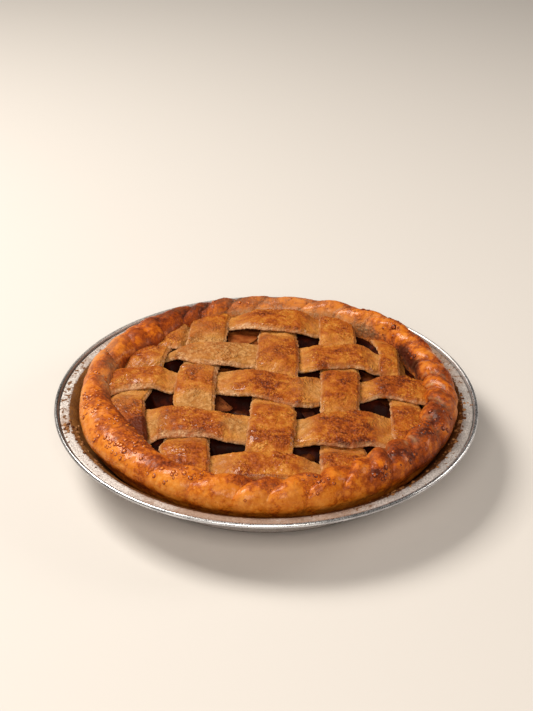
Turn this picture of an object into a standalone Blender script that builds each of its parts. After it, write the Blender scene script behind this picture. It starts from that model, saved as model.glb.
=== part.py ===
# A lattice-topped apple pie in its pressed foil tin.
# Metres, +Z up. The origin is the middle of the tin's flat base, where it rests.
# Nodes: the tin, the bottom crust with its twisted rim, the apple filling, and ten woven lattice strips.
import math

import bmesh
import bpy
from mathutils import Vector, noise

MM = 0.001
TURN = 2.0 * math.pi

# Tin: a pressed foil pan with a sloping wall, a flat flange and a rolled bead.
TIN_RADIUS = 122.5 * MM
TIN_HEIGHT = 30.0 * MM
BASE_RADIUS = 91.0 * MM
WALL_TOP_RADIUS = 113.9 * MM
WALL_THICKNESS = 0.5 * MM
BEAD_RADIUS = 1.25 * MM
GROOVE_DEPTH = 0.7 * MM
BASE_CORNER = 2.0 * MM
TIN_SEGMENTS = 64
BEAD_STEPS = 6

# Gaps that keep the separate pieces clear of each other.
WALL_GAP = 0.8 * MM
REST_GAP = 0.4 * MM
STRIP_GAP = 0.4 * MM

# Crust: a dough shell that has shrunk from the top of the tin's wall, under a rolled and twisted rim.
CRUST_FLOOR = 4.0 * MM
FLOOR_EDGE = 84.0 * MM
CLING_HEIGHT = 17.0 * MM
ROLL_RADIUS = 100.0 * MM
ROLL_HALF_WIDTH = 9.4 * MM
ROLL_HALF_HEIGHT = 9.6 * MM
ROLL_CENTRE_HEIGHT = 32.6 * MM
ROLL_STEPS = 11
TWIST_COUNT = 30
TWIST_DEPTH = 2.2 * MM
TWIST_SLANT = math.radians(8.0)
TWIST_SWAY = 0.5
TWIST_STEPS = 6
SIDE_RELIEF = 0.45
CRUST_SEGMENTS = TWIST_COUNT * TWIST_STEPS
CLEAR_STEPS = 4
RIM_FACE_FOOT = 27.0 * MM
UNDER_ROLL = (93.4 * MM, 24.0 * MM)
SHOULDER = (92.6 * MM, 17.0 * MM)

# Places round the rim, as (angle in degrees, spread in degrees, amount).
CALM_TWIST = ((-160.0, 38.0, 0.72), (60.0, 30.0, 0.35))
WIDER_INWARD = (
    (142.0, 14.0, 7.0 * MM),
    (-146.0, 24.0, 3.0 * MM),
    (-62.0, 18.0, 2.4 * MM),
    (50.0, 34.0, -2.4 * MM),
)
WIDER_OUTWARD = (
    (-92.0, 30.0, 2.2 * MM),
    (-20.0, 22.0, 1.4 * MM),
    (180.0, 22.0, -1.8 * MM),
    (120.0, 16.0, -1.5 * MM),
)
HIGHER = (
    (40.0, 14.0, 2.2 * MM),
    (75.0, 16.0, -1.2 * MM),
    (108.0, 16.0, -1.4 * MM),
    (-60.0, 20.0, 1.0 * MM),
)

# Lattice: five strips each way, woven over and under by turns.
STRIP_THICKNESS = 3.3 * MM
STRIP_CROWN = 0.6 * MM
STRIP_EDGE = 0.8 * MM
LOW_LEVEL = 30.6 * MM
HIGH_LEVEL = LOW_LEVEL + STRIP_THICKNESS + STRIP_CROWN + STRIP_GAP
CROSSING_MARGIN = 1.2 * MM
FLAT_STEPS = 2
SLOPE_SHARES = (0.33, 0.67)
DOME_RISE = 0.8 * MM
EDGE_FALL = 3.6 * MM
EDGE_FALL_RADIUS = 90.0 * MM
TRIMMER_REACH = 20.0 * MM
FULL_REACH = 110.0 * MM
SHORT_REACH = 53.0 * MM
# Each strip as (middle, drift along its length, width, how far its far end goes).
BACK_STRIPS = (
    (-78.3 * MM, 0.190, 24.0 * MM, FULL_REACH),
    (-40.0 * MM, 0.055, 24.0 * MM, FULL_REACH),
    (4.4 * MM, 0.056, 26.0 * MM, FULL_REACH),
    (42.0 * MM, 0.035, 23.0 * MM, FULL_REACH),
    (78.1 * MM, -0.120, 18.0 * MM, FULL_REACH),
)
CROSS_STRIPS = (
    (76.0 * MM, -0.030, 26.0 * MM, SHORT_REACH),
    (34.0 * MM, -0.035, 25.0 * MM, FULL_REACH),
    (0.5 * MM, -0.045, 24.0 * MM, FULL_REACH),
    (-41.5 * MM, -0.030, 28.0 * MM, FULL_REACH),
    (-76.0 * MM, -0.030, 24.0 * MM, FULL_REACH),
)

# Filling: sliced apple, packed to the lattice and sunk a little in its openings.
FILLING_SEGMENTS = 56
FILLING_ROWS = 11
HOLLOW_DEPTH = 4.6 * MM
LUMP_HEIGHT = 2.2 * MM
LUMP_SIZE = 17.0 * MM
FILLING_GAP = 1.2 * MM


def clear_scene():
    for obj in list(bpy.data.objects):
        bpy.data.objects.remove(obj)


def make_material(name, colour, roughness, metallic=0.0):
    material = bpy.data.materials.new(name)
    material.use_nodes = True
    shader = material.node_tree.nodes["Principled BSDF"]
    shader.inputs["Base Color"].default_value = (*colour, 1.0)
    shader.inputs["Roughness"].default_value = roughness
    shader.inputs["Metallic"].default_value = metallic
    return material


def stitch(mesh, lower, upper):
    # Joins two rings of vertices. A ring of one vertex is a pole.
    # A ring may have half its neighbour's count.
    if len(lower) < len(upper):
        lower, upper = upper, lower
    count = len(lower)
    for i in range(count):
        after = (i + 1) % count
        if len(upper) == count:
            mesh.faces.new((lower[i], lower[after], upper[after], upper[i]))
        elif len(upper) == 1:
            mesh.faces.new((lower[i], lower[after], upper[0]))
        elif i % 2 == 0:
            near, far = upper[i // 2], upper[(i // 2 + 1) % len(upper)]
            beyond = (i + 2) % count
            mesh.faces.new((lower[i], lower[after], near))
            mesh.faces.new((lower[after], far, near))
            mesh.faces.new((lower[after], lower[beyond], far))


def skin(name, rings, material, sharp_angle):
    # A closed body through a row of rings, with a pole or a flat cap at each end.
    mesh = bmesh.new()
    loops = [[mesh.verts.new(point) for point in ring] for ring in rings]
    for lower, upper in zip(loops, loops[1:]):
        stitch(mesh, lower, upper)
    bmesh.ops.recalc_face_normals(mesh, faces=mesh.faces)
    data = bpy.data.meshes.new(name)
    mesh.to_mesh(data)
    mesh.free()
    data.shade_smooth()
    data.set_sharp_from_angle(angle=math.radians(sharp_angle))
    if material:
        data.materials.append(material)
    obj = bpy.data.objects.new(name, data)
    bpy.context.scene.collection.objects.link(obj)
    return obj


def polar(radius, angle, height):
    return Vector((radius * math.cos(angle), radius * math.sin(angle), height))


def turned_ring(radius, height, segments):
    if radius == 0.0:
        return [Vector((0.0, 0.0, height))]
    return [polar(radius, TURN * i / segments, height) for i in range(segments)]


def ease(share):
    share = min(1.0, max(0.0, share))
    return share * share * (3.0 - 2.0 * share)


def smooth_step(low, high, value):
    return ease((value - low) / (high - low))


def near_places(angle, places):
    # How much the named places add at this angle.
    total = 0.0
    for centre, spread, amount in places:
        away = (math.degrees(angle) - centre + 180.0) % 360.0 - 180.0
        total += amount * math.exp(-((away / spread) ** 2))
    return total


# The tin


def tin_wall_radius(height):
    return BASE_RADIUS + (WALL_TOP_RADIUS - BASE_RADIUS) * height / (TIN_HEIGHT - BEAD_RADIUS)


def tin_profile():
    slope = math.atan2(WALL_TOP_RADIUS - BASE_RADIUS, TIN_HEIGHT - BEAD_RADIUS)
    across = WALL_THICKNESS / math.cos(slope)
    flange = TIN_HEIGHT - 1.6 * BEAD_RADIUS
    bead_middle = TIN_RADIUS - BEAD_RADIUS
    outside = [
        (0.0, 0.0),
        (BASE_RADIUS - BASE_CORNER, 0.0),
        (tin_wall_radius(0.35 * BASE_CORNER) - 0.2 * BASE_CORNER, 0.2 * BASE_CORNER),
        (tin_wall_radius(BASE_CORNER), BASE_CORNER),
        (tin_wall_radius(flange - 1.5 * WALL_THICKNESS), flange - 1.5 * WALL_THICKNESS),
        (WALL_TOP_RADIUS + BEAD_RADIUS, flange - WALL_THICKNESS),
        (bead_middle - BEAD_RADIUS, flange - WALL_THICKNESS),
    ]
    bead = []
    for i in range(BEAD_STEPS + 1):
        angle = math.radians(-110.0 + 250.0 * i / BEAD_STEPS)
        bead.append(
            (
                bead_middle + BEAD_RADIUS * math.cos(angle),
                TIN_HEIGHT - BEAD_RADIUS + BEAD_RADIUS * math.sin(angle),
            )
        )
    inside = [
        (bead_middle - 1.25 * BEAD_RADIUS, flange - GROOVE_DEPTH + WALL_THICKNESS),
        (bead_middle - 2.0 * BEAD_RADIUS, flange),
        (WALL_TOP_RADIUS + 0.5 * BEAD_RADIUS, flange),
        (tin_wall_radius(flange - 2.0 * WALL_THICKNESS) - across, flange - 2.0 * WALL_THICKNESS),
        (tin_wall_radius(BASE_CORNER) - across, BASE_CORNER + WALL_THICKNESS),
        (BASE_RADIUS - BASE_CORNER, WALL_THICKNESS),
        (0.0, WALL_THICKNESS),
    ]
    return outside + bead + inside


def build_tin(material):
    rings = [turned_ring(radius, height, TIN_SEGMENTS) for radius, height in tin_profile()]
    return skin("tin", rings, material, 40.0)


# The crust


def twist_phase(angle):
    sway = math.sin(2.0 * angle + 0.6) + 0.5 * math.sin(3.0 * angle)
    return TWIST_COUNT * angle / TURN + TWIST_SWAY * sway


def twist_relief(angle, outward):
    # Each twist swells quickly and falls slowly to the next fold.
    # The folds lean clockwise as they run outward.
    phase = twist_phase(angle + TWIST_SLANT * outward) % 1.0
    swell = math.sin(math.pi * phase**0.75)
    calm = 1.0 - near_places(angle, CALM_TWIST)
    return TWIST_DEPTH * calm * (swell - 1.0)


def roll_half_width(angle):
    return ROLL_HALF_WIDTH + 0.5 * (near_places(angle, WIDER_INWARD) + near_places(angle, WIDER_OUTWARD))


def roll_radius(angle):
    return ROLL_RADIUS + 0.5 * (near_places(angle, WIDER_OUTWARD) - near_places(angle, WIDER_INWARD))


def roll_half_height(angle):
    return ROLL_HALF_HEIGHT + near_places(angle, HIGHER)


def rim_face_radius(angle):
    # The inward face of the rolled rim, at the height of the lattice.
    return roll_radius(angle) - roll_half_width(angle) - twist_relief(angle, 0.0)


def rim_clear_radius(angle, reach):
    # The closest the inward face comes to the middle within this reach of the angle.
    steps = range(-CLEAR_STEPS, CLEAR_STEPS + 1)
    return min(rim_face_radius(angle + reach * k / CLEAR_STEPS) for k in steps)


def roll_ring(lean, segments):
    # One ring along the roll.
    # lean is 0 on its outer side, a quarter turn on top and half a turn on its inner side.
    points = []
    outward = 0.5 + 0.5 * math.cos(lean)
    strength = SIDE_RELIEF + (1.0 - SIDE_RELIEF) * math.sin(lean) if lean < 0.5 * math.pi else 1.0
    for i in range(segments):
        angle = TURN * i / segments
        relief = twist_relief(angle, outward) * strength
        radius = roll_radius(angle) + (roll_half_width(angle) + relief) * math.cos(lean)
        height = ROLL_CENTRE_HEIGHT + (roll_half_height(angle) + relief) * math.sin(lean)
        points.append(polar(radius, angle, height))
    return points


def rim_face_ring(height, segments):
    angles = [TURN * i / segments for i in range(segments)]
    return [polar(rim_face_radius(angle), angle, height) for angle in angles]


def crust_side_radius(height):
    slope = math.atan2(WALL_TOP_RADIUS - BASE_RADIUS, TIN_HEIGHT - BEAD_RADIUS)
    return tin_wall_radius(height) - (WALL_THICKNESS + WALL_GAP) / math.cos(slope)


def leaning_ring(share, height, segments):
    # Between the wall, at share 0, and the outer side of the roll, at share 1.
    points = []
    for i in range(segments):
        angle = TURN * i / segments
        outer = roll_radius(angle) + roll_half_width(angle) + twist_relief(angle, 1.0) * SIDE_RELIEF
        inner = crust_side_radius(CLING_HEIGHT)
        points.append(polar(inner + (outer - inner) * share, angle, height))
    return points


def build_crust(material):
    under = WALL_THICKNESS + REST_GAP
    coarse, middle = CRUST_SEGMENTS // 4, CRUST_SEGMENTS // 2
    cling_edge = crust_side_radius(CLING_HEIGHT)
    rings = [
        turned_ring(0.0, under, coarse),
        turned_ring(BASE_RADIUS - BASE_CORNER - WALL_GAP, under, coarse),
        turned_ring(crust_side_radius(1.4 * BASE_CORNER), 1.4 * BASE_CORNER, coarse),
        turned_ring(cling_edge, CLING_HEIGHT, middle),
        leaning_ring(0.4, CLING_HEIGHT + 5.0 * MM, middle),
        leaning_ring(0.85, ROLL_CENTRE_HEIGHT - 5.0 * MM, CRUST_SEGMENTS),
    ]
    for step in range(ROLL_STEPS):
        rings.append(roll_ring(math.pi * step / (ROLL_STEPS - 1), CRUST_SEGMENTS))
    rings += [
        rim_face_ring(RIM_FACE_FOOT, CRUST_SEGMENTS),
        turned_ring(*UNDER_ROLL, middle),
        turned_ring(*SHOULDER, coarse),
        turned_ring(FLOOR_EDGE, under + CRUST_FLOOR, coarse),
        turned_ring(0.0, under + CRUST_FLOOR, coarse),
    ]
    return skin("crust", rings, material, 50.0)


# The lattice


def strip_middle(strip, along):
    return strip[0] + strip[1] * along


def relief_height(x, y):
    # The lattice rises a little in the middle and falls towards the rim.
    return DOME_RISE - EDGE_FALL * (math.hypot(x, y) / EDGE_FALL_RADIUS) ** 3.5


def is_over(column, row, crosswise):
    # The cross strips pass over where column and row are both even or both odd.
    cross_over = (column + row) % 2 == 0
    return cross_over if crosswise else not cross_over


def crossing_place(strip, offset, other):
    # Where a line of this strip, at this offset from its middle, meets the middle of the other strip.
    along = other[0]
    for _ in range(4):
        along = strip_middle(other, strip_middle(strip, along) + offset)
    return along


def strip_knots(index, offset, crosswise):
    # Places and levels along one line of a strip.
    # It is level over each crossing, with an even slope between them.
    own_set, others = (CROSS_STRIPS, BACK_STRIPS) if crosswise else (BACK_STRIPS, CROSS_STRIPS)
    strip = own_set[index]
    flats = []
    for j, other in enumerate(others):
        place = crossing_place(strip, offset, other)
        column, row = (j, index) if crosswise else (index, j)
        level = HIGH_LEVEL if is_over(column, row, crosswise) else LOW_LEVEL
        half = 0.5 * other[2] + CROSSING_MARGIN
        if place - half < strip[3]:
            flats.append((place - half, min(place + half, strip[3]), level))
    flats.sort()
    knots = []
    for flat in flats:
        if knots:
            (before, level), (start, _, next_level) = knots[-1], flat
            for share in SLOPE_SHARES:
                height = level + (next_level - level) * ease(share)
                knots.append((before + (start - before) * share, height))
        for step in range(FLAT_STEPS + 1):
            knots.append((flat[0] + (flat[1] - flat[0]) * step / FLAT_STEPS, flat[2]))
    return knots


def strip_section(strip):
    # Side offset and height above the strip's underside, round the strip.
    half = 0.5 * strip[2]
    return (
        (0.0, 0.0),
        (-half, 0.0),
        (-half + 0.35 * STRIP_EDGE, STRIP_THICKNESS - STRIP_EDGE),
        (-half + 2.5 * STRIP_EDGE, STRIP_THICKNESS),
        (0.0, STRIP_THICKNESS + STRIP_CROWN),
        (half - 2.5 * STRIP_EDGE, STRIP_THICKNESS),
        (half - 0.35 * STRIP_EDGE, STRIP_THICKNESS - STRIP_EDGE),
        (half, 0.0),
    )


def strip_line(index, offset, lift, crosswise):
    strip = (CROSS_STRIPS if crosswise else BACK_STRIPS)[index]
    points = []
    for along, level in strip_knots(index, offset, crosswise):
        side = strip_middle(strip, along) + offset
        x, y = (along, side) if crosswise else (side, along)
        points.append(Vector((x, y, level + relief_height(x, y) + lift)))
    return points


def build_trimmer():
    # A cutter as wide as the opening inside the rim, which gives every strip its ends.
    count = CRUST_SEGMENTS // 2
    below, above = LOW_LEVEL - TRIMMER_REACH, HIGH_LEVEL + TRIMMER_REACH
    rings = [turned_ring(0.0, below, count)]
    for height in (below, above):
        ring = []
        for i in range(count):
            angle = TURN * i / count
            ring.append(polar(rim_clear_radius(angle, 2.0 * TURN / count) - STRIP_GAP, angle, height))
        rings.append(ring)
    rings.append(turned_ring(0.0, above, count))
    trimmer = skin("strip_trimmer", rings, None, 30.0)
    trimmer.hide_render = True
    trimmer.display_type = "WIRE"
    return trimmer


def build_strip(name, index, crosswise, material, trimmer):
    strip = (CROSS_STRIPS if crosswise else BACK_STRIPS)[index]
    lines = [strip_line(index, offset, lift, crosswise) for offset, lift in strip_section(strip)]
    rings = [list(ring) for ring in zip(*lines)]
    for end in (0, -1):
        middle = sum(rings[end], Vector()) / len(rings[end])
        rings.insert(0 if end == 0 else len(rings), [middle])
    obj = skin(name, rings, material, 50.0)
    trim = obj.modifiers.new("trim to the rim", "BOOLEAN")
    trim.operation = "INTERSECT"
    trim.object = trimmer
    return obj


# The filling


def covered(value, strips, along):
    # 1 under a strip of this set, falling to 0 midway between two.
    best = 0.0
    for strip in strips:
        away = abs(value - strip_middle(strip, along)) - 0.5 * strip[2]
        best = max(best, 1.0 - smooth_step(-1.0 * MM, 7.0 * MM, away))
    return best


def filling_height(x, y):
    # The slices reach the underside of the lattice and lie lower in its openings.
    shelter = max(covered(x, BACK_STRIPS, y), covered(y, CROSS_STRIPS, x))
    lump = LUMP_HEIGHT * noise.noise(Vector((x, y, 0.0)) / LUMP_SIZE)
    open_air = 1.0 - shelter
    return LOW_LEVEL - REST_GAP + relief_height(x, y) + open_air * (lump - HOLLOW_DEPTH)


def filling_edge(angle):
    return rim_clear_radius(angle, TURN / FILLING_SEGMENTS) - REST_GAP


def filling_ring(share, count, height):
    # A ring that follows the rim's inward face, at this share of the way out to it.
    angles = [TURN * i / count for i in range(count)]
    return [polar(filling_edge(angle) * share, angle, height) for angle in angles]


def build_filling(material):
    floor = WALL_THICKNESS + 2.0 * REST_GAP + CRUST_FLOOR
    coarse = FILLING_SEGMENTS // 2
    rings = [
        turned_ring(0.0, floor, coarse),
        turned_ring(FLOOR_EDGE - FILLING_GAP, floor, coarse),
        turned_ring(SHOULDER[0] - FILLING_GAP, SHOULDER[1], FILLING_SEGMENTS),
        turned_ring(UNDER_ROLL[0] - FILLING_GAP, UNDER_ROLL[1] - FILLING_GAP, FILLING_SEGMENTS),
        filling_ring(1.0, FILLING_SEGMENTS, RIM_FACE_FOOT - FILLING_GAP),
    ]
    for row in range(FILLING_ROWS, -1, -1):
        share = (row / FILLING_ROWS) ** 0.9
        count = FILLING_SEGMENTS if row > FILLING_ROWS // 3 else coarse
        points = filling_ring(share, count if row else 1, 0.0)
        for point in points:
            point.z = filling_height(point.x, point.y)
        rings.append(points)
    return skin("filling", rings, material, 60.0)


def main():
    clear_scene()
    foil = make_material("foil", (0.72, 0.70, 0.68), 0.35, 1.0)
    baked_dough = make_material("baked dough", (0.62, 0.28, 0.07), 0.5)
    strip_dough = make_material("strip dough", (0.68, 0.38, 0.13), 0.55)
    apple = make_material("apple filling", (0.16, 0.04, 0.015), 0.3)
    build_tin(foil)
    build_crust(baked_dough)
    build_filling(apple)
    trimmer = build_trimmer()
    for index in range(len(BACK_STRIPS)):
        build_strip(f"strip_back_{index + 1}", index, False, strip_dough, trimmer)
    for index in range(len(CROSS_STRIPS)):
        build_strip(f"strip_cross_{index + 1}", index, True, strip_dough, trimmer)


main()
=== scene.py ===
import math

import bpy
import numpy as np
from mathutils import Matrix, Vector, noise


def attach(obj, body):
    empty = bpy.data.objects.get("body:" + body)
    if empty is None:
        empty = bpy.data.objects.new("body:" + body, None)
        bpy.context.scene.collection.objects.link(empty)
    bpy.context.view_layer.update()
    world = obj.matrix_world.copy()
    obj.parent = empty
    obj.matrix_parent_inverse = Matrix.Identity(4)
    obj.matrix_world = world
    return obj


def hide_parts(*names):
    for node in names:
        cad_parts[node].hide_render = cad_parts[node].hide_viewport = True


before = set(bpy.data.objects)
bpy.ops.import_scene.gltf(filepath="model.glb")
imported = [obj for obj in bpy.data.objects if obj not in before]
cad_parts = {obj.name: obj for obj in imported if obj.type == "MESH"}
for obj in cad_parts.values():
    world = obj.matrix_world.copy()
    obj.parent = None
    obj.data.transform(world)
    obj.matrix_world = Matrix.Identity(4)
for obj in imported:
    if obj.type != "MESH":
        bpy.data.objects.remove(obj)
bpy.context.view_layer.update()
mm = 0.001
turn = 2.0 * math.pi


# numbers over many points at once

def ease(value, low, high):
    share = np.clip((value - low) / (high - low), 0.0, 1.0)
    return share * share * (3.0 - 2.0 * share)


def bell(value, middle, spread):
    return np.exp(-(((value - middle) / spread) ** 2))


def sampled(points, size, shift, read):
    shift = Vector(shift)
    flat = np.asarray(points).reshape(-1, 3) / (size * mm)
    values = np.array([read(Vector(p) + shift) for p in flat.tolist()])
    return values.reshape(np.shape(points)[:-1])


def lumps(points, size, seed=0):
    # soft lumps of about this size in mm, from -1 to 1
    return sampled(points, size, (seed * 7.31, seed * 3.17, seed * 5.73), noise.noise)


def cells(points, size, seed):
    # distance to the nearest scattered point, in sizes
    return sampled(points, size, (seed * 4.1, seed * 9.7, seed * 2.3), lambda p: noise.voronoi(p)[0][0])


def nearPlaces(degrees, places):
    # what places round the rim add up to, as (angle, spread, amount)
    return sum(amount * bell(angleFrom(degrees, middle), 0, spread) for middle, spread, amount in places)


def angleFrom(degrees, middle):
    return (degrees - middle + 180.0) % 360.0 - 180.0


def nearSpots(x, y, spots):
    # what spots on the lattice add up to, as (x, y, spread, amount) in mm
    return sum(amount * bell(np.hypot(x / mm - spotX, y / mm - spotY), 0, spread)
               for spotX, spotY, spread, amount in spots)


def polar(points):
    # angle in degrees and distance from the upright axis
    return np.degrees(np.arctan2(points[:, 1], points[:, 0])), np.hypot(points[:, 0], points[:, 1])


def hoop(degrees, radius, height):
    # points round the upright axis
    angle = np.radians(degrees)
    return np.stack([np.cos(angle) * radius, np.sin(angle) * radius, height + 0.0 * angle], 1)


# meshes

def placed(name, data):
    thing = bpy.data.objects.new(name, data)
    bpy.context.scene.collection.objects.link(thing)
    return thing


def meshPoints(mesh):
    points = np.zeros(len(mesh.vertices) * 3)
    mesh.vertices.foreach_get("co", points)
    return points.reshape(-1, 3)


def setTone(mesh, name, values):
    layer = mesh.attributes.new(name, "FLOAT", "POINT")
    layer.data.foreach_set("value", np.asarray(values).astype(np.float32))


def faceOutward(mesh):
    mesh.calc_loop_triangles()
    corners = np.zeros(len(mesh.loop_triangles) * 3, int)
    mesh.loop_triangles.foreach_get("vertices", corners)
    a, b, c = (meshPoints(mesh)[corners.reshape(-1, 3)[:, k]] for k in range(3))
    if np.einsum("ij,ij->i", a, np.cross(b, c)).sum() < 0.0:
        mesh.flip_normals()


def skin(name, rings, tones):
    # a closed body through rings of equal count; each tone is one value or a ring of them per row
    rings = np.asarray(rings)
    rows, count = rings.shape[:2]
    i = np.arange(count)
    j = (i + 1) % count
    faces = []
    for base in range(0, (rows - 1) * count, count):
        faces += np.stack([base + i, base + j, base + count + j, base + count + i], 1).tolist()
    foot, last = rows * count, (rows - 1) * count
    faces += [[b, a, foot] for a, b in zip(i.tolist(), j.tolist())]
    faces += [[last + a, last + b, foot + 1] for a, b in zip(i.tolist(), j.tolist())]
    points = np.concatenate([rings.reshape(-1, 3), [rings[0].mean(0), rings[-1].mean(0)]])
    mesh = bpy.data.meshes.new(name)
    mesh.from_pydata(points.tolist(), [], faces)
    faceOutward(mesh)
    mesh.shade_smooth()
    for tone, values in tones.items():
        values = np.array([np.broadcast_to(value, count) for value in values], float)
        setTone(mesh, tone, np.concatenate([values.reshape(-1), [values[0].mean(), values[-1].mean()]]))
    return placed(name, mesh)


def finishPiece(piece, material, nodes=()):
    piece.data.materials.clear()
    piece.data.materials.append(material)
    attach(piece, "root")
    if nodes:
        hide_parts(*nodes)
    print(piece.name + ":", len(piece.data.polygons), "faces")
    return piece


# wiring: node sockets as values in plain expressions

class Wire:
    def __init__(self, bench, socket):
        self.bench, self.socket = bench, socket


for sign, operation in (("add", "ADD"), ("sub", "SUBTRACT"), ("mul", "MULTIPLY"), ("truediv", "DIVIDE"),
                        ("pow", "POWER")):
    setattr(Wire, "__%s__" % sign, lambda wire, other, way=operation: wire.bench.maths(way, wire, other))
    setattr(Wire, "__r%s__" % sign, lambda wire, other, way=operation: wire.bench.maths(way, other, wire))


class Bench:
    # one node tree with short ways to add to it; sizes in mm
    def __init__(self, tree):
        self.tree = tree
        self.here = None

    def add(self, kind, sockets=(), settings=(), out=0):
        node = self.tree.nodes.new(kind)
        for key, value in dict(settings).items():
            setattr(node, key, value)
        for key, value in dict(sockets).items():
            if isinstance(value, Wire):
                self.tree.links.new(value.socket, node.inputs[key])
            elif node.inputs[key].type == "RGBA":
                node.inputs[key].default_value = (*value, 1.0)
            else:
                node.inputs[key].default_value = value
        return Wire(self, node.outputs[out]) if len(node.outputs) else node

    def maths(self, operation, a, b=0.0, clamp=False):
        return self.add("ShaderNodeMath", {0: a, 1: b}, {"operation": operation, "use_clamp": clamp})

    def limit(self, value):
        return self.maths("ADD", value, 0.0, clamp=True)

    def between(self, value, low, high):
        return self.add("ShaderNodeMapRange", {"Value": value, "From Min": low, "From Max": high},
                        {"interpolation_type": "SMOOTHSTEP"})

    def blend(self, factor, a, b):
        return self.add("ShaderNodeMix", {0: factor, 6: a, 7: b}, {"data_type": "RGBA"}, out=2)

    def ramp(self, value, stops):
        colour = self.add("ShaderNodeValToRGB", {0: value})
        elements = colour.socket.node.color_ramp.elements
        while len(elements) < len(stops):
            elements.new(0.5)
        for element, (place, shade) in zip(elements, stops):
            element.position = place
            element.color = (*shade, 1.0)
        return colour

    def place(self):
        self.here = self.here or self.add("ShaderNodeTexCoord", out=3)
        return self.here

    def cloud(self, size, detail=3.0, rough=0.55):
        sockets = {"Vector": self.place(), "Scale": 1.0 / (size * mm), "Detail": detail, "Roughness": rough}
        return self.add("ShaderNodeTexNoise", sockets)

    def mist(self, size, detail, rough, low):
        # a cloud spread over the whole way from 0 to 1
        return self.between(self.cloud(size, detail, rough), low, 1 - low)

    def pebbles(self, size):
        # 1 on top of each pebble, falling to 0 between them
        cell = self.add("ShaderNodeTexVoronoi", {"Vector": self.place(), "Scale": 1.0 / (size * mm),
                                                 "Smoothness": 0.35, "Randomness": 1.0}, {"feature": "SMOOTH_F1"})
        return 1 - self.between(cell, 0.08, 0.72)

    def tone(self, name):
        return self.add("ShaderNodeAttribute", settings={"attribute_name": name}, out=2)

    def split(self, vector):
        node = self.add("ShaderNodeSeparateXYZ", {0: vector}).socket.node
        return [Wire(self, socket) for socket in node.outputs]

    def join(self, x, y, z):
        return self.add("ShaderNodeCombineXYZ", {0: x, 1: y, 2: z})


def newMaterial(name):
    material = bpy.data.materials.new(name)
    material.use_nodes = True
    material.node_tree.nodes.clear()
    return material, Bench(material.node_tree)


surfaceNames = {"bump": "Normal", "metal": "Metallic", "coat": "Coat Weight", "coatRough": "Coat Roughness",
                "specular": "Specular IOR Level"}


def closeMaterial(bench, colour, rough, **others):
    others = {surfaceNames[key]: value for key, value in others.items()}
    shader = bench.add("ShaderNodeBsdfPrincipled", {"Base Color": colour, "Roughness": rough, **others})
    bench.add("ShaderNodeOutputMaterial", {"Surface": shader})


def roughen(bench, height, depth, strength):
    return bench.add("ShaderNodeBump", {"Strength": strength, "Distance": depth, "Height": height})


# a geometry tree run once on an object and kept as a plain mesh

def newTree(name, values):
    # a tree with an input for each value
    tree = bpy.data.node_groups.new(name, "GeometryNodeTree")
    for way in ("INPUT", "OUTPUT"):
        tree.interface.new_socket("Geometry", in_out=way, socket_type="NodeSocketGeometry")
    for label, value in values.items():
        kind = {int: "Int", float: "Float"}.get(type(value), "Object")
        tree.interface.new_socket(label, in_out="INPUT", socket_type="NodeSocket" + kind)
    bench = Bench(tree)
    source = tree.nodes.new("NodeGroupInput")
    return bench, {socket.name: Wire(bench, socket) for socket in source.outputs if socket.name}


def closeTree(bench, geometry, material):
    whole = bench.add("GeometryNodeRealizeInstances", {"Geometry": geometry})
    dressed = bench.add("GeometryNodeSetMaterial", {"Geometry": whole, "Material": material})
    bench.add("NodeGroupOutput", {"Geometry": dressed})
    return bench.tree


def grow(name, source, tree, values):
    # the result of the tree on the source, as its own object
    holder = placed(name + "Holder", source)
    modifier = holder.modifiers.new("grow", "NODES")
    modifier.node_group = tree
    for socket in tree.interface.items_tree:
        if socket.in_out == "INPUT" and socket.name in values:
            modifier[socket.identifier] = values[socket.name]
    bpy.context.view_layer.update()
    graph = bpy.context.evaluated_depsgraph_get()
    mesh = bpy.data.meshes.new_from_object(holder.evaluated_get(graph), depsgraph=graph)
    mesh.name = name
    bpy.data.objects.remove(holder)
    return placed(name, mesh)


# the tin

tinShape = {
    "radius": 122.5 * mm,
    "height": 30.0 * mm,
    "baseRadius": 91.0 * mm,
    "wallTop": 113.9 * mm,
    "foil": 0.5 * mm,
    "bead": 1.25 * mm,
    "groove": 0.9 * mm,
    "corner": 2.0 * mm,
    "sides": 1080,
    "pleats": 180.0,
    "pleatDepth": 0.05 * mm,
    "flutes": 96.0,
    "fluteDepth": 0.25 * mm,
    "pleatWander": 9.0,
    "fade": 1.2 * mm,
    # where bead, groove, flange and inner wall begin, each with its soft edge
    "beadEdge": (119.9 * mm, 120.3 * mm),
    "grooveEdge": (119.2 * mm, 119.5 * mm),
    "flangeLevel": (26.8 * mm, 27.2 * mm),
    "mouth": (113.6 * mm, 114.2 * mm),
    "lip": (27 * mm, 116 * mm),
    # where juice ran over the flange and where it spat, as (angle, spread, amount)
    "stains": ((-98, 26, 0.72), (-68, 9, 0.45), (-165, 8, 0.3), (150, 20, 0.3), (30, 20, 0.55), (60, 26, 0.4)),
    "spots": ((-165, 10, 0.5), (175, 14, 0.55), (150, 22, 0.35), (24, 16, 0.5), (60, 30, 0.1), (-30, 8, 0.1),
        (-66, 6, 0.3), (-120, 30, -0.1)),
}


def wallRadius(height):
    s = tinShape
    return s["baseRadius"] + (s["wallTop"] - s["baseRadius"]) * height / (s["height"] - s["bead"])


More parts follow.
